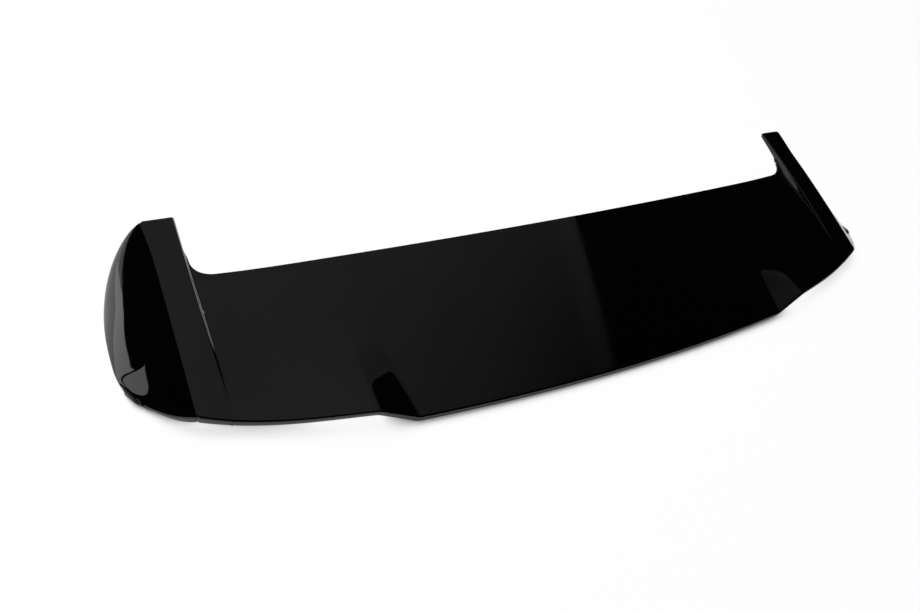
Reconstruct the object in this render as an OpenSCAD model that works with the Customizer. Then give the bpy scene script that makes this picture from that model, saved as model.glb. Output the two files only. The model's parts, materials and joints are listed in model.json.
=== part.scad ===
// Roof spoiler for the tailgate of a hatchback, in gloss black ABS.
// It is one moulding: a thin shell, open underneath, made of a centre blade,
// two flat side strips that run forward as fins, and a curved cheek outside
// each strip. The trailing edge is turned down into a narrow rim.
//
// The shell is lofted. Each column of the loft is a line that runs fore and
// aft, each row is a line from the left cheek to the right one. Lengths are
// worked out in the plane of the blade (u to the side, w forward, h up from
// the strips) and the whole shell is then tipped into the attitude in which
// it rests on a flat floor: on its two cheeks and the middle of its rim.

/* [Blade] */
// Leading edge to trailing edge, at the middle of the blade
blade_depth = 249; // [230:1:262]
// How far the leading edge bows to the rear at its middle
lead_bow = 16; // [6:1:24]
// Height of the crown along the leading edge
lead_crown = 14; // [6:1:20]
// Height of the crown along the trailing edge
tail_crown = 4; // [2:1:8]
// How far the trailing edge sweeps forward from its middle to the inner kinks
tail_sweep = 13.5; // [8:0.5:16]
// Radius of the corner between the leading edge and a fin
fillet_r = 37; // [25:1:45]
// Thickness of the moulding
wall = 3; // [2:0.25:3.25]

/* [Trailing edge] */
// Half the width of the lower middle section, out to the inner kinks
kink_inner = 312; // [275:1:325]
// Half the width between the outer kinks, where the raised ends begin
kink_outer = 363; // [350:1:395]
// How far the raised ends stand above the middle section at the rim
end_lift = 19; // [10:1:22]
// Length of the rise in front of the trailing edge
lift_length = 135; // [110:1:150]
// How far the edge steps forward from an inner kink to an outer kink
kink_step = 15; // [9:1:18]
// How far the edge sweeps forward from an outer kink to the end of the crease
end_sweep = 57; // [50:1:62]
// Height of the turned-down rim
rim_h = 11; // [9.5:0.5:14]
// Height of the rim at the rear corners
rim_corner_h = 14; // [11:0.5:17]
// Radius of the rim's upper edge
rim_r = 4; // [3.5:0.25:5]

/* [Side strips] */
// Half the width of the blade, out to the foot of the step
blade_half = 518.5; // [508:0.5:524]
// Width of a flat strip, from the step to the outer crease
strip_w = 37.5; // [32:0.5:43]
// Width that the steep face of the step takes up
step_run = 1.5; // [1:0.25:3]
// Height of the step at the ends of the leading edge, where it is highest
step_h = 12; // [9:0.5:13]
// Height of the step at the front of a fin
step_tip_h = 5; // [4:0.5:8]
// How far the fins reach in front of the ends of the leading edge
fin_reach = 84; // [70:1:95]

/* [Cheeks] */
// How far a cheek stands out from its crease at the widest place
cheek_out = 68; // [56:1:75]
// Depth of a cheek below its crease, where it is deepest
cheek_drop = 72; // [62:1:78]
// Distance of the widest place behind the ends of the leading edge
cheek_mid = 62; // [52:1:70]
// Distance of the cheek's rear corner behind the ends of the leading edge
cheek_rear = 122; // [115:1:130]
// How far the rear corner of a cheek stands clear of the floor
corner_lift = 8; // [5:0.5:12]

/* [Smoothness] */
// Number of steps along the blade, rear to front
rows_blade = 15; // [10:1:20]
// Number of steps along a fin in front of the fillet
rows_fin = 6; // [4:1:8]
// Number of steps across a cheek
cols_cheek = 8; // [6:1:10]

/* [Hidden] */

// Blade of the shell
lead_h = -15;
tail_h = -9.5;
tail_w = -lead_bow - blade_depth;
inner_w = tail_w + tail_sweep;
outer_w = inner_w + kink_step;
crease_w = outer_w + end_sweep;

// Step, strip and crease
strip_in = blade_half + step_run;
crease_u = strip_in + strip_w;
step_fade_w = -95;
strip_level_w = -5;
strip_sag = 8.5;
step_tail_h = 3.5;     // height left of the step at step_fade_w
step_tail = 85;        // length over which that last bit runs out
step_dive = 0.7;       // 1 gives the step a straight fall along the fin
foot_fold = 1.2;       // tangent length of the step's rounded foot
head_fold = 3;         // tangent length of its rounded head
crease_fold = 3;
ramp_fold = 3;
ramp_taper = 0.235;    // share of its width that a ramp loses to the front
ramp_straight = 100;   // length over which it does, along its inner fold

// Curves of the blade and the cheeks
lift_ease = 1.3;       // 1 gives a straight rise of the raised ends
sweep_ease = 1.5;      // 1 gives a straight climb from the ramp to the strip
end_bend = 0.28;       // share of the swept end's run that is curved
cheek_round = 2.25;     // 2 gives a cheek an elliptical plan
cheek_tuck = 0.16;     // share by which a cheek narrows to its rear corner
cheek_open = 70;       // length over which a cheek's section opens out
level_start = 15;      // how far a cheek's level foot goes on past where it rests
level_run = 30;        // length over which it runs out after that
seam = 0.03;           // first step across a cheek, just outside the crease

// Attitude at rest: the line from the rim's lower edge to the cheeks' lower edges
rest_tilt = atan((cheek_drop + tail_h + tail_crown - rim_h) / -tail_w);

rows_arc = 3;
rows_rim = rows_arc + 1;
last_blade_row = rows_rim + rows_blade;
last_row = last_blade_row + rows_fin;

function clamp(t) = min(1, max(0, t));
function lerp(a, b, t) = a + (b - a) * t;
function ease(t) = let (c = clamp(t)) c * c * (3 - 2 * c);
function unit(v) = v / norm(v);

// Lines in plan: each gives w for a distance u from the middle

// Leading edge: a shallow bow, then the fillet that runs up to the fin
fillet_u = blade_half - foot_fold - fillet_r;
function lead_line(u) =
    u < fillet_u
        ? -lead_bow * (1 - pow(u / fillet_u, 2))
        : fillet_r - sqrt(max(0, pow(fillet_r, 2) - pow(u - fillet_u, 2)));

// Trailing edge: middle section, forward step at the kinks, swept end
function tail_line(u) =
    let (t = (u - kink_outer) / (crease_u - kink_outer))
    u < kink_inner ? tail_w + tail_sweep * pow(u / kink_inner, 2)
    : u < kink_outer
        ? inner_w + kink_step * (u - kink_inner) / (kink_outer - kink_inner)
        : outer_w + end_sweep * lerp(t, pow(t, 3), end_bend);

// Heights above the plane of the strips

// Strip: flat in front, then bowing down a little towards the trailing edge
function strip_line(w) =
    -strip_sag * pow(max(0, (strip_level_w - w) / (strip_level_w - crease_w)), 1.5);

// Step between blade and strip: highest at the end of the leading edge, lower
// along the fin's free edge, and fading to the rear
function step_line(w) =
    w > 0
        ? lerp(step_h, step_tip_h, pow(min(1, w / fin_reach), step_dive))
        : w > step_fade_w
            ? lerp(step_h, step_tail_h, w / step_fade_w)
            : step_tail_h * pow(max(0, 1 + (w - step_fade_w) / step_tail), 1.5);

// Rise of the ends of the blade over the middle section
function lift_line(w) =
    end_lift * pow(clamp((outer_w + lift_length - w) / lift_length), lift_ease);

// Surface of the blade: slope, crown, lifted ends, and a sweep up to the strip.
// On a ramp, drift is how far the point lies outside its place at the rim.
function blade_height(u, w, drift = 0) =
    let (t = w / tail_w,
         crown = lerp(lead_crown, tail_crown, clamp(t)),
         middle = lerp(lead_h, tail_h, t) + crown * (1 - pow(min(u, fillet_u) / fillet_u, 2)),
         lift = lift_line(w) * clamp((u - drift - kink_inner) / (kink_outer - kink_inner)),
         foot = strip_line(w) - step_line(w),
         reach = clamp((u - kink_outer) / (blade_half - kink_outer)))
    lerp(middle + lift, foot, pow(reach, sweep_ease));

// How far a column at distance u drifts outward with the ramp's inner fold, at
// a distance run in front of the trailing edge
function drift_at(u, run) =
    ramp_taper * (kink_outer - kink_inner) * min(1, run / ramp_straight) * drift_share(u);
function drift_share(u) =
    u <= kink_inner + ramp_fold
        ? clamp((u - kink_inner * 0.82) / (kink_inner * 0.18 - ramp_fold))
        : clamp((kink_outer - ramp_fold - u) / (kink_outer - kink_inner - 2 * ramp_fold));

// Cheek: lower edge in plan and in height, and the curve down to it

function cheek_edge_out(w) =
    let (a = (w + cheek_mid) / (fin_reach + cheek_mid),
         b = (-cheek_mid - w) / (cheek_rear - cheek_mid))
    w > -cheek_mid
        ? cheek_out * pow(max(0, 1 - pow(a, cheek_round)), 1 / cheek_round)
        : cheek_out * (1 - cheek_tuck * pow(b, 3));

function cheek_edge_h(w) =
    let (a = max(0, w) / (fin_reach + 1),
         b = clamp((-cheek_mid - w) / (cheek_rear - cheek_mid)))
    corner_lift * b * b
        - (cheek_drop - max(0, -w) * tan(rest_tilt)) * sqrt(max(0, 1 - a * a));

// Point of a cheek: s runs from the crease to the lower edge, v from the
// trailing edge to the front of the fin
function cheek_point(s, wc, we) =
    let (open = ease((wc - crease_w) / cheek_open),
         tip = ease((wc - fillet_r) / (fin_reach - fillet_r)),
         a = [crease_u, wc, strip_line(wc)],
         out = cheek_edge_out(we),
         b = [crease_u + out, we, cheek_edge_h(we)],
         d = b - a,
         pull = lerp([0.62, 0.26, 0.55], [0.86, 0.5 - 0.35 * tip, 0.66], open),
         m = a + [d.x * pull.x, d.y * pull.y, d.z * pull.z])
    a * pow(1 - s, 2) + m * 2 * s * (1 - s) + b * s * s;

// Columns of the right half, from the middle to the lower edge of the cheek.
// The blade has a column at every place where its section bends.
blade_cols = concat(
    [for (k = [0 : 5]) (kink_inner - ramp_fold) * k / 5],
    [kink_inner + ramp_fold, (kink_inner + kink_outer) / 2],
    [kink_outer - ramp_fold, kink_outer + ramp_fold],
    [for (k = [1 : 3]) lerp(kink_outer + ramp_fold, fillet_u, k / 3)],
    [for (a = [18 : 18 : 90]) fillet_u + fillet_r * sin(a)]);
foot_col = len(blade_cols) - 1;
strip_cols = 7;
first_cheek_col = foot_col + strip_cols;
last_col = first_cheek_col + cols_cheek;

// Rounded step, as points across it at one station: the foot's mid point and
// end, the top's start, mid point and end, then the strip up to its crease.
// Along a fin the blade is gone and the steep face ends in a plain free edge.
function step_point(n, w) =
    let (top = strip_line(w),
         rise = step_line(w),
         face = [step_run, 0, rise],
         up = unit(face),
         side = [1, 0, 0],
         bend = atan2(rise, step_run),
         foot_r = min(foot_fold, 0.3 * norm(face)),
         head_r = min(head_fold, 0.6 * norm(face)),
         across = unit(side + up),
         rim = [-across.z, 0, across.x],
         foot = [blade_half, w, top - rise],
         head = [strip_in, w, top])
    n == 1 ? foot + (w > fillet_r ? up * foot_r / 2 : rim * foot_r * tan(bend / 4))
    : n == 2 ? foot + up * foot_r
    : n == 3 ? head - up * head_r
    : n == 4 ? head - rim * head_r * tan(bend / 4)
    : n == 5 ? head + side * head_fold
    : n == 6 ? [(strip_in + crease_u) / 2, w, top]
    : [crease_u - crease_fold, w, top];

// Station of a row: 0 at the trailing edge, 1 at the fillet, 2 at the fin front
function station(k) =
    let (n = k - rows_rim)
    n <= rows_blade ? pow(n / rows_blade, 1.25) : 1 + (n - rows_blade) / rows_fin;

function fin_w(rear, t) =
    t <= 1 ? lerp(rear, fillet_r, t) : lerp(fillet_r, fin_reach, t - 1);

// Skin without its rim: column j from 0 to last_col, station t
function skin(j, t) =
    j <= foot_col
        ? let (u = blade_cols[j],
               front = lead_line(u + drift_at(u, ramp_straight)),
               w = t <= 1 ? lerp(tail_line(u), front, t) : fin_w(0, t),
               drift = drift_at(u, w - tail_line(u)))
          j == foot_col && t > 1
              ? [blade_half, w, strip_line(w) - step_line(w)]
              : [u + drift, w, blade_height(u + drift, w, drift)]
    : j <= first_cheek_col
        ? let (n = j - foot_col,
               u = step_point(n, 0).x,
               w = fin_w(tail_line(min(u, crease_u)), t))
          step_point(n, w)
    : let (s = lerp(seam, 1, (j - first_cheek_col - 1) / (cols_cheek - 1)),
           edge_w = t <= 1 ? lerp(-cheek_rear, fillet_r - 4, t)
                           : lerp(fillet_r - 4, fin_reach - 4, t - 1))
      cheek_point(s, fin_w(crease_w, t), edge_w);

// Share of the way round the rear corner, for the rim that dies out there
function corner(j) = clamp((j - first_cheek_col) / cols_cheek);
function rim_height(j) =
    let (full = lerp(rim_h, rim_corner_h, ease((j - foot_col + 2) / (strip_cols + 2))))
    lerp(full, rim_r + 0.5, pow(corner(j), 1.6));
function rim_down(j) = let (q = corner(j)) unit([-0.3 * q, 0.08 + 0.1 * q, -1 + 0.2 * q]);

// Outer surface: rows 0 to rows_rim form the rim, the rest lie on the skin
function outer_half(j, k) =
    let (edge = skin(j, 0),
         inward = unit(skin(j, 0.04) - edge),
         down = rim_down(j),
         a = 90 * (1 - (k - 1) / rows_arc))
    k == 0 ? edge + down * rim_height(j)
    : k <= rows_rim
        ? edge + (inward + down) * rim_r - (down * cos(a) + inward * sin(a)) * rim_r
        : skin(j, station(k));

module spoiler_shell() {
    m = last_col - foot_col + 1;
    cols = 2 * last_col + 1;
    blade_rows = last_blade_row + 1;
    fin_points = 2 * m;

    // The grid of points: whole rows for the blade, two short rows for the fins
    rows = [for (k = [0 : last_row])
        [for (j = [-last_col : last_col])
            if (k <= last_blade_row || abs(j) >= foot_col)
                let (p = outer_half(abs(j), k)) [sign(j) * p.x, p.y, p.z]]];

    function inside(k, j) =
        k >= 0 && k <= last_row && abs(j) <= last_col
        && (k <= last_blade_row || abs(j) >= foot_col);
    function at(k, j) =
        k <= last_blade_row ? rows[k][j + last_col]
        : j < 0 ? rows[k][j + last_col] : rows[k][m + j - foot_col];
    function index(k, j) =
        k <= last_blade_row
            ? k * cols + j + last_col
            : blade_rows * cols + (k - blade_rows) * fin_points
                + (j < 0 ? j + last_col : m + j - foot_col);

    // A cell lies between rows k and k+1 and columns j and j+1
    function cell(k, j) =
        inside(k, j) && inside(k, j + 1) && inside(k + 1, j) && inside(k + 1, j + 1)
        && (k < last_blade_row || j >= foot_col || j < -foot_col);
    function cell_normal(k, j) =
        unit(cross(at(k + 1, j + 1) - at(k, j), at(k + 1, j) - at(k, j + 1)));

    // The inner skin lies one wall below the outer one. Where the lower edge of
    // a cheek rests on the floor, the wall is cut level, so that it lies flat.
    function sum(v) = [for (x = v) 1] * v;
    function inner(k, j) =
        let (n = [for (a = [-1, 0]) for (b = [-1, 0])
                      if (cell(k + a, j + b)) cell_normal(k + a, j + b)],
             s = sum(n) / len(n),
             level = s - up * (s * up),
             w = at(k, j).y,
             past = max(w, -cheek_mid - w) - level_start,
             share = abs(j) == last_col ? 1 - clamp(past / level_run) : 0)
        at(k, j) - lerp(s / (s * s), level / (level * s), share) * wall;

    // Tipped to its attitude at rest, over the middle of its footprint
    up = [0, sin(rest_tilt), cos(rest_tilt)];
    ahead = [0, cos(rest_tilt), -sin(rest_tilt)];
    function tipped(p) = [p.x, p * ahead, p * up];

    grid = [for (k = [0 : last_row]) for (j = [-last_col : last_col]) if (inside(k, j)) [k, j]];
    count = len(grid);
    points = concat([for (g = grid) tipped(at(g[0], g[1]))],
                    [for (g = grid) tipped(inner(g[0], g[1]))]);
    ys = [for (p = points) p.y];
    floor_z = min([for (p = points) p.z]);
    seat = [0, (min(ys) + max(ys)) / 2, floor_z];

    cells = [for (g = grid) if (cell(g[0], g[1])) g];
    function quad(a, b, c, d) = [[a, b, c], [a, c, d]];
    top = [for (g = cells)
        let (k = g[0], j = g[1])
        each quad(index(k, j), index(k + 1, j), index(k + 1, j + 1), index(k, j + 1))];
    under = [for (f = top) [f[2] + count, f[1] + count, f[0] + count]];

    // Where a cell has no neighbour, a strip closes the edge of the shell
    function edge_strip(a, b) = quad(a, b, b + count, a + count);
    edges = [for (g = cells)
        let (k = g[0], j = g[1])
        each concat(
            cell(k - 1, j) ? [] : edge_strip(index(k, j), index(k, j + 1)),
            cell(k + 1, j) ? [] : edge_strip(index(k + 1, j + 1), index(k + 1, j)),
            cell(k, j - 1) ? [] : edge_strip(index(k + 1, j), index(k, j)),
            cell(k, j + 1) ? [] : edge_strip(index(k, j + 1), index(k + 1, j + 1)))];

    color("#151517")
        translate(-seat)
            polyhedron(points = points, faces = concat(top, under, edges), convexity = 6);
}

spoiler_shell();
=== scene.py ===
# %% [markdown]
# # A gloss black roof spoiler
# The object is one moulded shell of ABS, painted gloss black: a wide blade, two
# flat strips that run forward as fins, and a curved cheek outside each strip.
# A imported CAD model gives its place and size. This lesson builds a finer skin
# over that model, gives it its finish, and lights it as a catalogue photo.
# We start by loading the model and noting the box that it fills.

# %% Load the frame and note its box
import bpy
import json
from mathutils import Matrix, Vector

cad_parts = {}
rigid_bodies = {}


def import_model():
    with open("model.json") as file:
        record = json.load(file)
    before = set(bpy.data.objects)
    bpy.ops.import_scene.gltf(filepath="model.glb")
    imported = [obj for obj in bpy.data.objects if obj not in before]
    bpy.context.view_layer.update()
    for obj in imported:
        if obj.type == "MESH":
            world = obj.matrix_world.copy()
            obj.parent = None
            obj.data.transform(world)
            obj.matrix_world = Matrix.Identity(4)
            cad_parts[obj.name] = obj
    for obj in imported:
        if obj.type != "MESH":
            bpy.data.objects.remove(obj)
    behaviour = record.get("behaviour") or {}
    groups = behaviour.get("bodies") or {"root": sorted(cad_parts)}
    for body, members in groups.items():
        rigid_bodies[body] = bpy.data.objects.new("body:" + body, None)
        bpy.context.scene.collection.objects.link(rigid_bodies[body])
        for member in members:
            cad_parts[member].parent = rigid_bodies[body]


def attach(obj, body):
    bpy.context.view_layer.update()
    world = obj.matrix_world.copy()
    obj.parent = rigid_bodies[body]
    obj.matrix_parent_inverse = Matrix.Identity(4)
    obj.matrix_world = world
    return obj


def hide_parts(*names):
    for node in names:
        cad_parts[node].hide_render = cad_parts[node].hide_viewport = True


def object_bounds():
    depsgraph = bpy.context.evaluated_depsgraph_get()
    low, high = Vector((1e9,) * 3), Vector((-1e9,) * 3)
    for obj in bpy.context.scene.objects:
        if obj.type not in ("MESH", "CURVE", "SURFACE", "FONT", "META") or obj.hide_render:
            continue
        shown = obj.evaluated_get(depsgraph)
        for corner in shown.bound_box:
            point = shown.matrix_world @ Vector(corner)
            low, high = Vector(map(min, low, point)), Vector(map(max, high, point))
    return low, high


for leftover in list(bpy.data.objects):
    bpy.data.objects.remove(leftover)
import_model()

import json
import math

import bmesh
from mathutils import Matrix, Vector

cad_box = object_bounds()
print("box of the CAD model, in metres:", cad_box)

# %% [markdown]
# ## Sizes
# A spoiler is drawn in the plane of its two flat strips: u runs to the side, w
# forward and h up. Its lines are easy to state there, in millimetres, and the
# finished shell is tipped into its resting attitude afterwards. The large sizes
# are the CAD model's own, so the two shapes agree. The fillets, the folds and the
# tips of the fins are drawn finer here, because gloss paint shows every one.

# %% The sizes that the lines are drawn from
MM = 0.001
WALL = 3
# The blade: its depth and half width, and the bows and crowns of both its edges.
BLADE_DEPTH, BLADE_HALF = 249, 518.5
LEAD_BOW, LEAD_CROWN, LEAD_H = 16, 14, -15
TAIL_SWEEP, TAIL_CROWN, TAIL_H = 13.5, 4, -9.5
FILLET_R, FILLET_W, FILLET_SHAPE = 31, 23, 2.2
# The ramps between the kinks of the trailing edge, and the raised ends.
KINK_INNER, KINK_OUTER, KINK_STEP, END_SWEEP = 312, 363, 15, 57
END_LIFT, LIFT_LENGTH, RAMP_TAPER, RAMP_STRAIGHT = 19, 135, 0.235, 100
# The turned-down rim: height, height at the corners, radius of its upper edge.
RIM_H, RIM_CORNER_H, RIM_R = 11, 14, 4
# The strips with their fins, and the step that lifts them over the blade.
STRIP_W, FIN_REACH, STRIP_SAG, STRIP_LEVEL_W = 37.5, 84, 8.5, -5
STEP_RUN, STEP_H, STEP_TIP_H, STEP_TAIL_H, STEP_FADE_W, STEP_TAIL = 1.5, 12, 5, 3.5, -95, 85
TIP_INNER, TIP_OUTER, TIP_FLARE = 2.5, 2, 3
# The cheeks: how far out and down their lower edge lies, and where it turns.
CHEEK_OUT, CHEEK_DROP, CHEEK_MID, CHEEK_REAR, CORNER_LIFT = 68, 72, 62, 122, 8
# Radii of the folds, and of the free edges of the wall.
RAMP_FOLD, FOOT_FOLD, HEAD_FOLD, CREASE_FOLD, EDGE_FOLD = 3, 2.4, 3, 2.2, 0.7

TAIL_W = -LEAD_BOW - BLADE_DEPTH
INNER_W = TAIL_W + TAIL_SWEEP
OUTER_W = INNER_W + KINK_STEP
CREASE_W = OUTER_W + END_SWEEP
STRIP_IN = BLADE_HALF + STEP_RUN
CREASE_U = STRIP_IN + STRIP_W
FILLET_U = BLADE_HALF - FOOT_FOLD - FILLET_R
REST_TILT = math.atan((CHEEK_DROP + TAIL_H + TAIL_CROWN - RIM_H) / -TAIL_W)
print("crease at", CREASE_U, "mm; the shell rests tipped by",
      round(math.degrees(REST_TILT), 2), "degrees")

# %% [markdown]
# ## The lines of the blade
# Seen from above, the leading edge is a shallow bow that ends in a round fillet,
# and the trailing edge steps forward at two kinks before it sweeps out to the
# corners. Seen from behind, the ends of the blade rise at those kinks. Each line
# is a short function, because a function can be sampled as finely as we like.

# %% Plan and heights of the blade
def clamp(t):
    return min(1.0, max(0.0, t))


def lerp(a, b, t):
    return a + (b - a) * t


def ease(t):
    t = clamp(t)
    return t * t * (3 - 2 * t)


def lead_line(u):
    """Leading edge: a shallow bow that ends in a fillet up to the fin."""
    if u < FILLET_U:
        return -LEAD_BOW * (1 - (u / FILLET_U) ** 2)
    across = min(1.0, (u - FILLET_U) / FILLET_R)
    return FILLET_W * (1 - (1 - across ** FILLET_SHAPE) ** (1 / FILLET_SHAPE))


def tail_line(u):
    """Trailing edge: swept, then forward over the ramp, then out to the corner."""
    t = (u - KINK_OUTER) / (CREASE_U - KINK_OUTER)
    if u < KINK_INNER:
        return TAIL_W + TAIL_SWEEP * (u / KINK_INNER) ** 2
    if u < KINK_OUTER:
        return INNER_W + KINK_STEP * (u - KINK_INNER) / (KINK_OUTER - KINK_INNER)
    return OUTER_W + END_SWEEP * lerp(t, t ** 3, 0.28)


def strip_line(w):
    return -STRIP_SAG * max(0.0, (STRIP_LEVEL_W - w) / (STRIP_LEVEL_W - CREASE_W)) ** 1.5


def flare(w):
    """How far the outer crease swings out towards the tip of a fin."""
    return TIP_FLARE * ease((w - 25) / (FIN_REACH - 25))


def rounding(radius, inset):
    """How far a round corner stands back at a distance from its side."""
    return radius - math.sqrt(radius ** 2 - max(0.0, radius - inset) ** 2)


def tip_line(u):
    """Front end of a fin, with a small round at each of its two corners."""
    inner = rounding(TIP_INNER, u - BLADE_HALF)
    return FIN_REACH - inner - rounding(TIP_OUTER, CREASE_U - CREASE_FOLD - u)


def step_line(w):
    """Height of the step along a strip: lower at the tip, fading out to the rear."""
    if w > 0:
        return lerp(STEP_H, STEP_TIP_H, min(1.0, w / FIN_REACH) ** 0.7)
    if w > STEP_FADE_W:
        return lerp(STEP_H, STEP_TAIL_H, w / STEP_FADE_W)
    return STEP_TAIL_H * max(0.0, 1 + (w - STEP_FADE_W) / STEP_TAIL) ** 1.5


def soft_step(w):
    """The same, averaged over a short stretch so that it has no corners."""
    return sum(step_line(w + 3 * k) for k in range(-4, 5)) / 9


def blade_height(u, w, drift=0.0):
    t = w / TAIL_W
    crown = lerp(LEAD_CROWN, TAIL_CROWN, clamp(t))
    middle = lerp(LEAD_H, TAIL_H, t) + crown * (1 - (min(u, FILLET_U) / FILLET_U) ** 2)
    rise = END_LIFT * clamp((OUTER_W + LIFT_LENGTH - w) / LIFT_LENGTH) ** 1.3
    rise *= clamp((u - drift - KINK_INNER) / (KINK_OUTER - KINK_INNER))
    foot = strip_line(w) - soft_step(w)
    reach = clamp((u - KINK_OUTER) / (BLADE_HALF - KINK_OUTER))
    return lerp(middle + rise, foot, reach ** 1.5)


def drift_share(u):
    """How much of a ramp's slant a mesh line takes: all of it at the inner fold."""
    if u <= KINK_INNER + RAMP_FOLD:
        return clamp((u - KINK_INNER * 0.82) / (KINK_INNER * 0.18 - RAMP_FOLD))
    return clamp((KINK_OUTER - RAMP_FOLD - u) / (KINK_OUTER - KINK_INNER - 2 * RAMP_FOLD))


def drift_at(u, run):
    return RAMP_TAPER * (KINK_OUTER - KINK_INNER) * min(1.0, run / RAMP_STRAIGHT) * drift_share(u)


def on_blade(u, t):
    w = lerp(tail_line(u), lead_line(u + drift_at(u, RAMP_STRAIGHT)), t)
    drift = drift_at(u, w - tail_line(u))
    return Vector((u + drift, w, blade_height(u + drift, w, drift)))


print("trailing edge height at the middle and outside the kink:",
      round(blade_height(0, TAIL_W), 1), round(blade_height(KINK_OUTER, OUTER_W), 1))

# %% [markdown]
# ## The lines of a cheek
# A cheek starts at the outer crease and bulges out and down to the edge that it
# rests on. Across it, the section is a curve pulled towards a middle point, and
# that point moves from rear to front, so the cheek opens from nearly straight
# at the rear corner to full and round ahead of it.

# %% Lower edge and section of a cheek
def cheek_edge_out(w):
    if w > -CHEEK_MID:
        a = (w + CHEEK_MID) / (FIN_REACH + CHEEK_MID)
        return CHEEK_OUT * max(0.0, 1 - a ** 2.25) ** (1 / 2.25)
    return CHEEK_OUT * (1 - 0.16 * ((-CHEEK_MID - w) / (CHEEK_REAR - CHEEK_MID)) ** 3)


def cheek_edge_h(w):
    a = max(0.0, w) / (FIN_REACH + 1)
    b = clamp((-CHEEK_MID - w) / (CHEEK_REAR - CHEEK_MID))
    drop = CHEEK_DROP - (math.hypot(w, 15) - w) / 2 * math.tan(REST_TILT)
    return CORNER_LIFT * b ** 3 - drop * math.sqrt(max(0.0, 1 - a * a))


def cheek_curve(w_crease, w_edge):
    """Crease, middle point and lower edge: the curve of a cheek's section."""
    opened = ease((w_crease - CREASE_W) / 70)
    tip = ease((w_crease - 37) / (FIN_REACH - 37))
    start = Vector((CREASE_U + flare(w_crease), w_crease, strip_line(w_crease)))
    end = Vector((CREASE_U + cheek_edge_out(w_edge), w_edge, cheek_edge_h(w_edge)))
    near = Vector((0.62, 0.26, 0.55))
    far = Vector((0.86, 0.5 - 0.35 * tip, 0.66))
    return start, start + (end - start) * near.lerp(far, opened), end


def cheek_stations(t):
    if t <= 1:
        return lerp(CREASE_W, FILLET_W, t), lerp(-CHEEK_REAR, FILLET_W - 4, t)
    return lerp(FILLET_W, FIN_REACH - TIP_OUTER, t - 1), lerp(FILLET_W - 4, FIN_REACH - 4, t - 1)


def on_cheek(s, t):
    if 0 < t <= 1:
        t += 0.04 * s * (1 - t)
    start, middle, end = cheek_curve(*cheek_stations(t))
    return start * (1 - s) ** 2 + middle * 2 * s * (1 - s) + end * s * s


widest = CREASE_U + cheek_edge_out(-CHEEK_MID)
print("widest place of a cheek:", round(widest, 1), "mm from the middle")

# %% [markdown]
# ## Rounded folds in the section
# No moulding has a knife edge: the tool that makes it has radii. The two bends of
# the step lie closer together than a bevel can handle, and the crease runs out
# to nothing at the tip of the fin. So these three roundings are drawn as arcs of
# the section, where each can shrink with the room that it has. A radius stays
# above the wall's thickness where the skin turns down, so that the inner skin
# can follow without crossing itself.

# %% An arc in a corner, and the section of step and crease
SIDE = Vector((1, 0, 0))


def arc(corner, back, ahead, reach, q):
    """Point at share q of the arc that touches both legs of a corner at the distance reach."""
    weight = 2 * math.sqrt(max(0.0, (1 + back.dot(ahead)) / 2)) * q * (1 - q)
    first, last = corner - back * reach, corner + ahead * reach
    return (first * (1 - q) ** 2 + corner * weight + last * q * q) / ((1 - q) ** 2 + weight + q * q)


def step_frame(w):
    top = strip_line(w)
    foot, head = Vector((BLADE_HALF, w, top - soft_step(w))), Vector((STRIP_IN, w, top))
    return foot, head, (head - foot).normalized(), (head - foot).length


def on_foot(q, w, free):
    """Foot of the step; free is 1 along a fin, where the steep face ends in a free edge."""
    foot, _, up, length = step_frame(w)
    reach = min(FOOT_FOLD, 0.3 * length)
    return arc(foot, SIDE, up, reach, q).lerp(foot + up * (reach * q), free)


def on_head(q, w):
    _, head, up, length = step_frame(w)
    return arc(head, up, SIDE, min(HEAD_FOLD, 0.6 * length), q)


def on_crease(q, t):
    start, middle, _ = cheek_curve(*cheek_stations(t))
    out = middle - start
    return arc(start, SIDE, out.normalized(), min(CREASE_FOLD, 0.09 * out.length), q)


print("step at the leading edge:", round(soft_step(0), 1), "mm high, at the fin's tip:",
      round(soft_step(FIN_REACH), 1))

# %% [markdown]
# ## Where the mesh lines go
# A reflection shows every uneven cell, so the mesh lines follow the form. Each
# column keeps to one feature: the blade, the foot or the head of the step, the
# strip, the crease or the cheek. Along the folds of the ramps there is one line
# on the fold, which is rounded later. Between folds the lines are evenly spaced.

# %% Columns across and rows along the sheet
def spaced(start, end, step):
    count = max(1, math.ceil(abs(end - start) / step))
    return [lerp(start, end, k / count) for k in range(1, count + 1)]


def feature(name, places):
    return [(name, place) for place in places]


FOLD_SHARES = (0.0, 0.17, 0.33, 0.5, 0.67, 0.83, 1.0)
blade_columns = [0.0] + spaced(0, KINK_INNER - 5, 8) + [KINK_INNER]
blade_columns += [KINK_INNER + 5] + spaced(KINK_INNER + 5, KINK_OUTER - 5, 6) + [KINK_OUTER]
blade_columns += [KINK_OUTER + 5] + spaced(KINK_OUTER + 5, FILLET_U, 7)
blade_columns += [FILLET_U + FILLET_R * math.sin(math.radians(a))
                  for a in (*range(5, 86, 5), 87.5, 89)]
columns = feature("blade", blade_columns)
columns += feature("foot", (0.0, 0.33, 0.67, 1.0))
columns += feature("head", FOLD_SHARES)
strip_start, strip_end = STRIP_IN + HEAD_FOLD + 0.8, CREASE_U - CREASE_FOLD - 0.6
strip_columns = [strip_start] + spaced(strip_start, strip_end - 4.8, 5)
columns += feature("strip", strip_columns + spaced(strip_end - 4.8, strip_end, 1.2))
columns += feature("crease", FOLD_SHARES)
columns += feature("cheek", [0.06, 0.09] + spaced(0.09, 1, 0.05))

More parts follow.
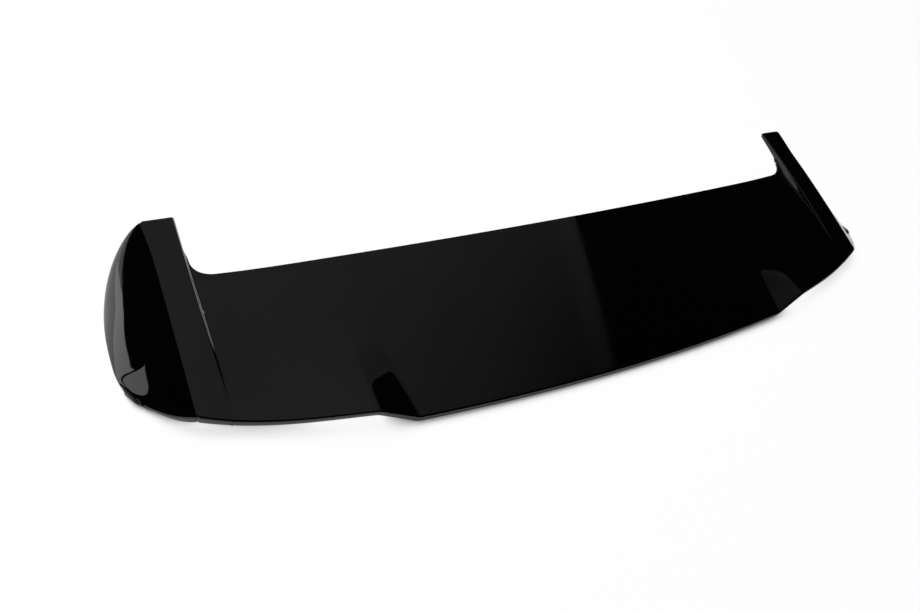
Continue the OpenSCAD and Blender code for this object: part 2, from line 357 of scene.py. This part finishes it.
rows = [0.0, 0.03, 0.036] + spaced(0.036, 0.985, 0.021) + [0.993, 1.0]
lead_row = len(rows) - 1
rows += [1 + 0.5 * k / 12 for k in range(1, 13)]
rows += [1.5 + 0.5 * math.sin(math.pi / 2 * k / 16) for k in range(1, 17)]
foot_column = len(blade_columns)
print(len(columns), "columns and", len(rows), "rows on each half")

# %% [markdown]
# ## One half as a sheet
# The skin could be built as a solid block and cut, but a moulding is a sheet, so
# a grid from one operator is the natural start. Its corners are moved onto the
# lines above, and the cells between the two fins, ahead of the leading edge,
# are deleted. The first rows are the turned-down rim. They run round its upper
# edge as a quarter circle that leans with the rim, because at the corners the
# edge drops so steeply that a bevel would fold over itself.

# %% Place a point of the sheet
def across_at(feature_name, place):
    """Distance from the middle, for the features between blade and cheek."""
    fixed = {"blade": place, "foot": BLADE_HALF, "head": STRIP_IN, "strip": place}
    return fixed.get(feature_name, CREASE_U)


def on_skin(column, t):
    """A point of the skin: t is 0 at the rear, 1 at the leading edge, 2 at the tips."""
    name, place = columns[column]
    if name == "blade":
        return on_blade(place, t)
    if name == "crease":
        return on_crease(place, t)
    if name == "cheek":
        return on_cheek(place, t)
    across = across_at(name, place)
    end = tip_line(STRIP_IN + HEAD_FOLD * place if name == "head" else across)
    w = lerp(tail_line(across), FILLET_W, t) if t <= 1 else lerp(FILLET_W, end, t - 1)
    if name == "foot":
        return on_foot(place, w, ease((t - 1) / 0.3))
    if name == "head":
        return on_head(place, w)
    return Vector((place + flare(w) * (place - STRIP_IN) / STRIP_W, w, strip_line(w)))


def on_rim(column, turn):
    """A point of the rim: turn 0 meets the skin, 1 points down and 2 is the lower edge."""
    name, place = columns[column]
    q = place if name == "cheek" else 0.0
    edge = on_skin(column, 0)
    inward = (on_skin(column, 0.04) - edge).normalized()
    down = Vector((0, 0.08, -1)).lerp(-inward, ease((q - 0.55) / 0.45)).normalized()
    if turn > 1:
        full = lerp(RIM_H, RIM_CORNER_H, ease((across_at(name, place) - 508) / 50))
        return edge + down * lerp(full, RIM_R + 0.5, ease(q / 0.65))
    a = math.pi / 2 * turn
    return edge + (inward * (1 - math.sin(a)) + down * (1 - math.cos(a))) * RIM_R


# %% Make the grid and move it into place
shell = bmesh.new()
RIM_TURNS = [2, 1, 0.875, 0.75, 0.625, 0.5, 0.375, 0.25, 0.125, 0]
across, along = len(columns) - 1, len(RIM_TURNS) + len(rows) - 2
bmesh.ops.create_grid(shell, x_segments=across, y_segments=along, size=1)
place_of = {}
for vert in shell.verts:
    column = round((vert.co.x + 1) / 2 * across)
    row = round((vert.co.y + 1) / 2 * along) - len(RIM_TURNS) + 1
    place_of[vert] = (column, row)
notch = [v for v, (column, row) in place_of.items() if row > lead_row and column < foot_column]
for vert in notch:
    place_of.pop(vert)
bmesh.ops.delete(shell, geom=notch, context="VERTS")
for vert, (column, row) in place_of.items():
    vert.co = on_skin(column, rows[row]) if row > 0 else on_rim(column, RIM_TURNS[row - 1])
shell.normal_update()
print("half sheet:", len(shell.faces), "cells")

# %% [markdown]
# ## Rounded ramps
# The two folds of a ramp have room around them, so here the Bevel operator does
# the work. It rounds each fold all the way from the leading edge, over the rim's
# upper edge and down the rim. The edges of both folds are gathered before the
# first one is rounded, because rounding replaces them.

# %% Round the folds of the ramps
ramp_edges = {}
for fold in (KINK_INNER, KINK_OUTER):
    line = columns.index(("blade", fold))
    ramp_edges[fold] = [e for e in shell.edges
                        if all(place_of[v][0] == line for v in e.verts)]
for fold, edges in ramp_edges.items():
    bmesh.ops.bevel(shell, geom=edges, offset=RAMP_FOLD, offset_type="OFFSET", affect="EDGES",
                    segments=5, profile=0.5, material=-1, clamp_overlap=False)
    print("fold at", fold, "mm:", len(edges), "edges rounded by", RAMP_FOLD, "mm")

# %% [markdown]
# ## Mirror, tip and thicken
# The other half is a mirror image, welded along the middle. The normals are made
# to agree before the wall is added, because a closed shell has two skins and
# would turn the inner one round. The shell is tipped about the side axis until
# the rim and both cheeks touch the floor, and then placed in the CAD model's box.

# %% The whole sheet, at rest
half = shell.verts[:] + shell.edges[:] + shell.faces[:]
bmesh.ops.mirror(shell, geom=half, axis="X", merge_dist=0.01)
bmesh.ops.recalc_face_normals(shell, faces=shell.faces)
if sum(face.normal.z * face.calc_area() for face in shell.faces) < 0:
    bmesh.ops.reverse_faces(shell, faces=shell.faces)
bmesh.ops.transform(shell, matrix=Matrix.Rotation(REST_TILT, 4, "X"), verts=shell.verts)
bmesh.ops.scale(shell, vec=(MM, MM, MM), verts=shell.verts)
lowest = min(v.co.z for v in shell.verts)
rear = min(v.co.y for v in shell.verts)
bmesh.ops.translate(shell, vec=(0, cad_box[0][1] - rear, -lowest), verts=shell.verts)
print("sheet of", len(shell.faces), "cells, rear edge at", round(cad_box[0][1], 4), "m")

# %% [markdown]
# The wall is added inwards. Faces of the inner skin and of the cut edges get
# their own slot, for the bare plastic. The cheeks' lower edges are then cut
# level with the floor, and the tips of the fins with the CAD model's front.

# %% Give it the thickness of the wall
outer_skin = set(shell.verts)
before = len(shell.faces)
bmesh.ops.solidify(shell, geom=shell.faces[:], thickness=WALL * MM)
for face in shell.faces:
    face.material_index = 0 if all(v in outer_skin for v in face.verts) else 1
for vert in shell.verts:
    vert.co.y = min(vert.co.y, cad_box[1][1])
    vert.co.z = max(vert.co.z, 0.0)
shell.normal_update()
inner_cells = sum(face.material_index for face in shell.faces)
print("wall added:", before, "cells became", len(shell.faces), "of which", inner_cells, "inside")

# %% [markdown]
# ## Free edges
# The free edge of the wall is square after that. On the real part the paint
# pulls round it, and it catches a thin line of light, so it gets a small
# rounding of its own. Free edges are found by their angle, because every other
# fold has been rounded already.

# %% Round the free edges
free_edges = [e for e in shell.edges if e.calc_face_angle() > math.radians(50)]
bmesh.ops.bevel(shell, geom=free_edges, offset=EDGE_FOLD * MM, offset_type="OFFSET", affect="EDGES",
                segments=3, profile=0.5, material=-1, clamp_overlap=True)
bmesh.ops.recalc_face_normals(shell, faces=shell.faces)
print("free edges:", len(free_edges), "edges rounded")
print("closed:", all(edge.is_manifold for edge in shell.edges), "; volume",
      round(shell.calc_volume() * 1e6, 1), "cubic centimetres")

# %% Make it an object
for face in shell.faces:
    face.smooth = True
skin_mesh = bpy.data.meshes.new("spoiler_skin")
shell.to_mesh(skin_mesh)
shell.free()
skin = bpy.data.objects.new("spoiler_skin", skin_mesh)
bpy.context.scene.collection.objects.link(skin)
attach(skin, "root")
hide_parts("spoiler_shell")
print("spoiler_skin:", len(skin_mesh.polygons), "cells")

# %% [markdown]
# ## Shader maths
# A material is a graph of nodes. Written out node by node it is long and hard
# to read, so a small class wraps a socket: an expression such as 1 - dust then
# adds its Math nodes by itself, and one method adds any other kind of node.

# %% Write shader maths as expressions
class Finish:
    """A material, or the room, whose nodes are written as Python expressions."""

    def __init__(self, name, kind="materials"):
        self.block = getattr(bpy.data, kind).new(name)
        self.block.use_nodes = True
        self.tree = self.block.node_tree
        self.tree.nodes.clear()

    def node(self, kind, settings=None, **sockets):
        """Add a node: its settings first, then a value or a link for each socket."""
        made = self.tree.nodes.new(kind)
        for key, value in (settings or {}).items():
            setattr(made, key, value)
        for key, value in sockets.items():
            self.feed(made.inputs[key.replace("_", " ")], value)
        return made

    def feed(self, socket, value):
        if isinstance(value, Value):
            self.tree.links.new(value.socket, socket)
        elif isinstance(value, bpy.types.NodeSocket):
            self.tree.links.new(value, socket)
        else:
            socket.default_value = value

    def value(self, socket):
        return Value(self, socket)


class Value:
    """A number that varies over the surface."""

    def __init__(self, finish, socket):
        self.finish = finish
        self.socket = socket

    def math(self, operation, first, second, third=None):
        made = self.finish.tree.nodes.new("ShaderNodeMath")
        made.operation = operation
        for socket, number in zip(made.inputs, (first, second, third)):
            if number is not None:
                self.finish.feed(socket, number)
        return Value(self.finish, made.outputs[0])

    def __add__(self, other):
        return self.math("ADD", self, other)

    def __sub__(self, other):
        return self.math("SUBTRACT", self, other)

    def __rsub__(self, other):
        return self.math("SUBTRACT", other, self)

    def __mul__(self, other):
        return self.math("MULTIPLY", self, other)

    def __gt__(self, other):
        return self.math("GREATER_THAN", self, other)

    def __lt__(self, other):
        return self.math("LESS_THAN", self, other)

    def between(self, low, high):
        """Ramp from 0 at the low value to 1 at the high one."""
        made = self.finish.node("ShaderNodeMapRange", {"clamp": True},
                                Value=self, From_Min=low, From_Max=high)
        return Value(self.finish, made.outputs["Result"])

    __radd__ = __add__
    __rmul__ = __mul__


print("helpers for materials are ready")

# %% [markdown]
# ## Gloss black paint
# Gloss black shows almost nothing of itself. What we see is the room in it, so
# its colour is nearly black, and the interest lies in the clear coat: a slow
# unevenness of the moulding, a much finer one of the paint, faint wipe marks
# where the gloss is a little duller, and a few specks of dust.

# %% Gloss black finish
def noise(finish, position, scale, detail=2.0, stretch=(1, 1, 1)):
    """Soft noise, with a scale in features a metre and a stretch for each axis."""
    mapped = finish.node("ShaderNodeMapping", {"vector_type": "POINT"},
                         Vector=position, Scale=stretch)
    made = finish.node("ShaderNodeTexNoise", {"noise_dimensions": "3D"},
                       Vector=mapped.outputs["Vector"], Scale=scale, Detail=detail, Roughness=0.5)
    return finish.value(made.outputs["Fac"])


gloss = Finish("gloss_black_paint")
on_paint = gloss.node("ShaderNodeTexCoord").outputs["Object"]
cells = gloss.node("ShaderNodeTexVoronoi", {"feature": "F1"},
                   Vector=on_paint, Scale=55.0, Randomness=1.0)
speck = gloss.value(cells.outputs["Distance"]) < 0.014
lot = gloss.node("ShaderNodeSeparateColor", Color=cells.outputs["Color"]).outputs["Red"]
dust = speck * (gloss.value(lot) > 0.55)
wiped = noise(gloss, on_paint, 9.0, 3.0, (1, 3.5, 1)).between(0.45, 0.75)
waves = noise(gloss, on_paint, 14.0, 1.0)
peel = noise(gloss, on_paint, 420.0, 1.0)
print("marks in the paint:", len(gloss.tree.nodes), "nodes")

# %% The paint, from its marks
PAINT_BLACK, DUST_GREY = (0.0004, 0.0004, 0.00045, 1), (0.16, 0.16, 0.155, 1)
colour = gloss.node("ShaderNodeMix", {"data_type": "RGBA"}, Factor=dust * 0.8)
colour.inputs["A"].default_value = PAINT_BLACK
colour.inputs["B"].default_value = DUST_GREY
relief = gloss.node("ShaderNodeBump", Strength=1.0, Distance=0.001,
                    Height=waves * 0.06 + peel * 0.0012 + dust * 0.05)
paint = gloss.node("ShaderNodeBsdfPrincipled", Base_Color=colour.outputs["Result"], IOR=1.5,
                   Roughness=wiped * 0.03 + dust * 0.5 + 0.035, Normal=relief.outputs["Normal"])
gloss.node("ShaderNodeOutputMaterial", Surface=paint.outputs["BSDF"])
skin_mesh.materials.append(gloss.block)
print("gloss black paint:", len(gloss.tree.nodes), "nodes")

# %% [markdown]
# ## Bare plastic inside
# The paint is sprayed from outside, so the inner skin is bare moulded ABS: a dark
# satin grey with the fine grain of the tool, and a little paint mist on it.

# %% Satin finish of the inner skin
satin = Finish("bare_black_plastic")
in_shell = satin.node("ShaderNodeTexCoord").outputs["Object"]
grain = noise(satin, in_shell, 900.0, 2.0)
mist = noise(satin, in_shell, 16.0, 3.0).between(0.4, 0.7)
tone = satin.node("ShaderNodeMix", {"data_type": "RGBA"}, Factor=mist)
tone.inputs["A"].default_value = (0.010, 0.010, 0.011, 1)
tone.inputs["B"].default_value = (0.018, 0.018, 0.019, 1)
tooled = satin.node("ShaderNodeBump", Strength=0.5, Distance=0.001, Height=grain * 0.05)
plastic = satin.node("ShaderNodeBsdfPrincipled", Base_Color=tone.outputs["Result"],
                     Roughness=mist * -0.12 + 0.5, Normal=tooled.outputs["Normal"])
satin.node("ShaderNodeOutputMaterial", Surface=plastic.outputs["BSDF"])
skin_mesh.materials.append(satin.block)
print("bare plastic:", len(satin.tree.nodes), "nodes, on",
      sum(cell.material_index for cell in skin_mesh.polygons), "cells")

# %% [markdown]
# ## Camera
# The photograph is taken from behind the left end and from above. The camera
# stands where the lines of the object meet those of the photograph. Its lens is
# given by the focal length in pixels, which a sensor of 36 mm turns into
# millimetres.

# %% Stand the camera where the photograph was taken
PHOTO_WIDTH, FOCAL_PIXELS = 920, 786
lens = bpy.data.cameras.new("camera")
lens.sensor_width = 36
lens.lens = lens.sensor_width * FOCAL_PIXELS / PHOTO_WIDTH
camera = bpy.data.objects.new("camera", lens)
bpy.context.scene.collection.objects.link(camera)
camera.rotation_euler = [math.radians(a) for a in (42.7176, -12.4785, -26.5857)]
camera.location = (-0.66532, -0.58748, 0.78870)
bpy.context.scene.camera = camera
print("camera with a lens of", round(lens.lens, 2), "mm")

# %% [markdown]
# ## Floor
# The ground is white right up to the object, with only a soft shadow under it.
# White lamps alone would need so much light that the paint would glare. So the
# floor is a pale matt surface, and for camera and glossy rays part of it is
# replaced by plain white. That part fades out close under the object, where an
# Ambient Occlusion node finds little open air over the floor. There the floor is
# painted darker as a contact shadow, on top of the real soft shadow of the lamp.

# %% White floor
def plain_plane(name, size, height, columns=1):
    mesh = bmesh.new()
    bmesh.ops.create_grid(mesh, x_segments=columns, y_segments=1, size=size / 2)
    bmesh.ops.translate(mesh, vec=(0, 0, height), verts=mesh.verts)
    data = bpy.data.meshes.new(name)
    mesh.to_mesh(data)
    mesh.free()
    plane = bpy.data.objects.new(name, data)
    bpy.context.scene.collection.objects.link(plane)
    return plane


floor = plain_plane("floor", 30.0, -0.0002)
white = Finish("white_ground")
path = white.node("ShaderNodeLightPath")
by_camera = white.value(path.outputs["Is Camera Ray"])
by_paint = white.value(path.outputs["Is Glossy Ray"])
seen = by_camera * 0.95 + by_paint * 0.3
# The AO node paints shade on the floor close under the object: a painted contact shadow, over the
# real shadow of the soft lamp.
contact_shadow_ao = white.node("ShaderNodeAmbientOcclusion", {"samples": 12}, Distance=0.025)
open_air = white.value(contact_shadow_ao.outputs["AO"])
matt = white.node("ShaderNodeBsdfDiffuse", Color=(0.9, 0.9, 0.9, 1))
lift = white.node("ShaderNodeEmission", Color=(1, 1, 1, 1), Strength=1.0)
blend = white.node("ShaderNodeMixShader")
white.feed(blend.inputs[0], seen * open_air.between(0.3, 0.92))
white.feed(blend.inputs[1], matt.outputs["BSDF"])
white.feed(blend.inputs[2], lift.outputs["Emission"])
white.node("ShaderNodeOutputMaterial", Surface=blend.outputs["Shader"])
floor.data.materials.append(white.block)
print("floor", floor.dimensions[:2])

# %% [markdown]
# ## Light
# Gloss paint is lit by what it mirrors, and a matt floor by lamps. So the two
# are kept apart. One wide soft lamp, which the paint doesn't mirror, lights the
# floor and makes the soft shadow. Cards that only mirrors see light the paint.

# %% A soft lamp for the floor
def soft_lamp(name, position, size, power):
    """A square lamp that looks at the object and isn't mirrored."""
    light = bpy.data.lights.new(name, "AREA")
    light.shape = "RECTANGLE"
    light.size, light.size_y = size, size
    light.energy = power
    lamp = bpy.data.objects.new(name, light)
    lamp.location = position
    lamp.rotation_euler = (-Vector(position)).to_track_quat("-Z", "Y").to_euler()
    lamp.visible_glossy = False
    bpy.context.scene.collection.objects.link(lamp)
    return lamp


lamp = soft_lamp("soft_lamp", (-0.8, 1.2, 2.3), 2.8, 120)
print("soft lamp at", tuple(round(c, 2) for c in lamp.location), "of", lamp.data.energy, "W")

# %% [markdown]
# ## A dim card overhead
# One large dim card hangs over the left half. It turns the left half of the
# blade grey and leaves the right half black, with the card's straight edge
# between them. The card is a little brighter in a band along that edge, dims
# towards it, and is uneven as a real cloth is. Its brightness is written as a
# colour, from black to white.

# %% Hang the grey card
def glossy_card(name, corners, columns=1):
    """A card that only mirrors see; its corners run row by row."""
    card = plain_plane(name, 1.0, 0.0, columns)
    for vert, corner in zip(card.data.vertices, corners):
        vert.co = corner
    card.visible_camera = card.visible_diffuse = card.visible_shadow = False
    return card


CARD_H, CARD_SLANT = 1.5, 0.13
card_corners = [(-0.85, -0.6), (1.0, -0.6), (-0.85, 1.3), (1.247, 1.3)]
grey_card = glossy_card("grey_card", [(x, y, CARD_H) for x, y in card_corners])
print("card corners:", [tuple(round(c, 2) for c in v.co) for v in grey_card.data.vertices])

# %% Its uneven brightness
glow = Finish("grey_card")
on_card = glow.node("ShaderNodeTexCoord").outputs["Object"]
parts = glow.node("ShaderNodeSeparateXYZ", Vector=on_card).outputs
card_x, card_y = glow.value(parts["X"]), glow.value(parts["Y"])
edge = card_x - card_y * CARD_SLANT
level = card_x.between(-0.4, 1.1)
far = 1 - card_y.between(-0.2, 0.5)
band = edge.between(0.95, 1.0) * (1 - edge.between(1.05, 1.07))
folds = noise(glow, on_card, 2.2, 3.0, (1, 0.6, 1)) - 0.5
brightness = (0.31 - level * 0.15 - level * far * 0.15 + band * 0.03) * (1 + folds * 0.5)
shade = glow.node("ShaderNodeMix", {"data_type": "RGBA"}, Factor=brightness)
shade.inputs["A"].default_value = (0, 0, 0, 1)
shade.inputs["B"].default_value = (1, 1, 1, 1)
lit = glow.node("ShaderNodeEmission", Color=shade.outputs["Result"], Strength=1.0)
glow.node("ShaderNodeOutputMaterial", Surface=lit.outputs["Emission"])
grey_card.data.materials.append(glow.block)
print("grey card:", len(glow.tree.nodes), "nodes")

# %% [markdown]
# ## Bright cards at the sides
# The cheeks and the faces of the steps look sideways, past the card overhead.
# Each gets a bright card that stands upright beside the object, as high and as
# long as the reflection that it makes. The lower part of the left cheek mirrors
# the first two, whose upper edges run down towards the front, as in the photo.

# %% Stand the bright cards
def bright_card(name, x, outline, strength):
    """A glowing card at one x; its outline is a row of (y, lower z, upper z)."""
    corners = [(x, y, low) for y, low, _ in outline] + [(x, y, high) for y, _, high in outline]
    card = glossy_card(name, corners, len(outline) - 1)
    finish = Finish(name)
    light = finish.node("ShaderNodeEmission", Color=(1, 1, 1, 1), Strength=strength)
    finish.node("ShaderNodeOutputMaterial", Surface=light.outputs["Emission"])
    card.data.materials.append(finish.block)
    print(name, "at x", x, "from y", round(outline[0][0], 2), "to", round(outline[-1][0], 2))


def side_edge(y):
    """Upper edge of the cards at the left, as the lower part of the cheek mirrors it."""
    return 0.2 - 0.09 * ease((y - 0.145) / 0.07) - 0.11 * clamp((y - 0.21) / 0.21) ** 1.2


LEFT_X = -0.9
long_part = [lerp(0.16, 0.42, k / 20) for k in range(21)]
wedge = [lerp(0.078, 0.15, k / 8) for k in range(9)]
long_outline = [(y, 0.0, min(side_edge(y), 0.015 / y ** 1.28)) for y in long_part]
bright_card("side_card", LEFT_X, long_outline, 1.9)
bright_card("side_wedge", LEFT_X, [(y, 0.0, side_edge(y)) for y in wedge], 1.6)
bright_card("rear_side_card", -1.5, [(0.82, 0.42, 0.9), (1.4, 0.42, 0.9)], 1.6)
bright_card("fin_card", LEFT_X, [(0.5, 0.15, 0.9), (0.75, 0.15, 0.9)], 1.6)
bright_card("right_card", 1.6, [(0.93, 0.1, 1.2), (1.9, 0.1, 1.2)], 2.6)

# %% [markdown]
# ## Room
# Behind the floor the room is white for the camera. For every other ray it is
# white only near the horizon and dark above, which leaves the upper part of a
# cheek black and lets its lower part mirror the bright ground.

# %% White horizon and dark room
room = Finish("room", "worlds")
bpy.context.scene.world = room.block
direction = room.node("ShaderNodeTexCoord").outputs["Generated"]
height = room.value(room.node("ShaderNodeSeparateXYZ", Vector=direction).outputs["Z"])
horizon = 1 - height.between(0.02, 0.06)
dark_room = horizon * 0.95 + 0.006
camera_ray = room.value(room.node("ShaderNodeLightPath").outputs["Is Camera Ray"])
seen_room = camera_ray + (1 - camera_ray) * dark_room
backdrop = room.node("ShaderNodeBackground", Color=(1, 1, 1, 1), Strength=seen_room)
room.node("ShaderNodeOutputWorld", Surface=backdrop.outputs["Background"])
bpy.context.scene.view_settings.view_transform = "Standard"
print("room:", len(room.tree.nodes), "nodes")
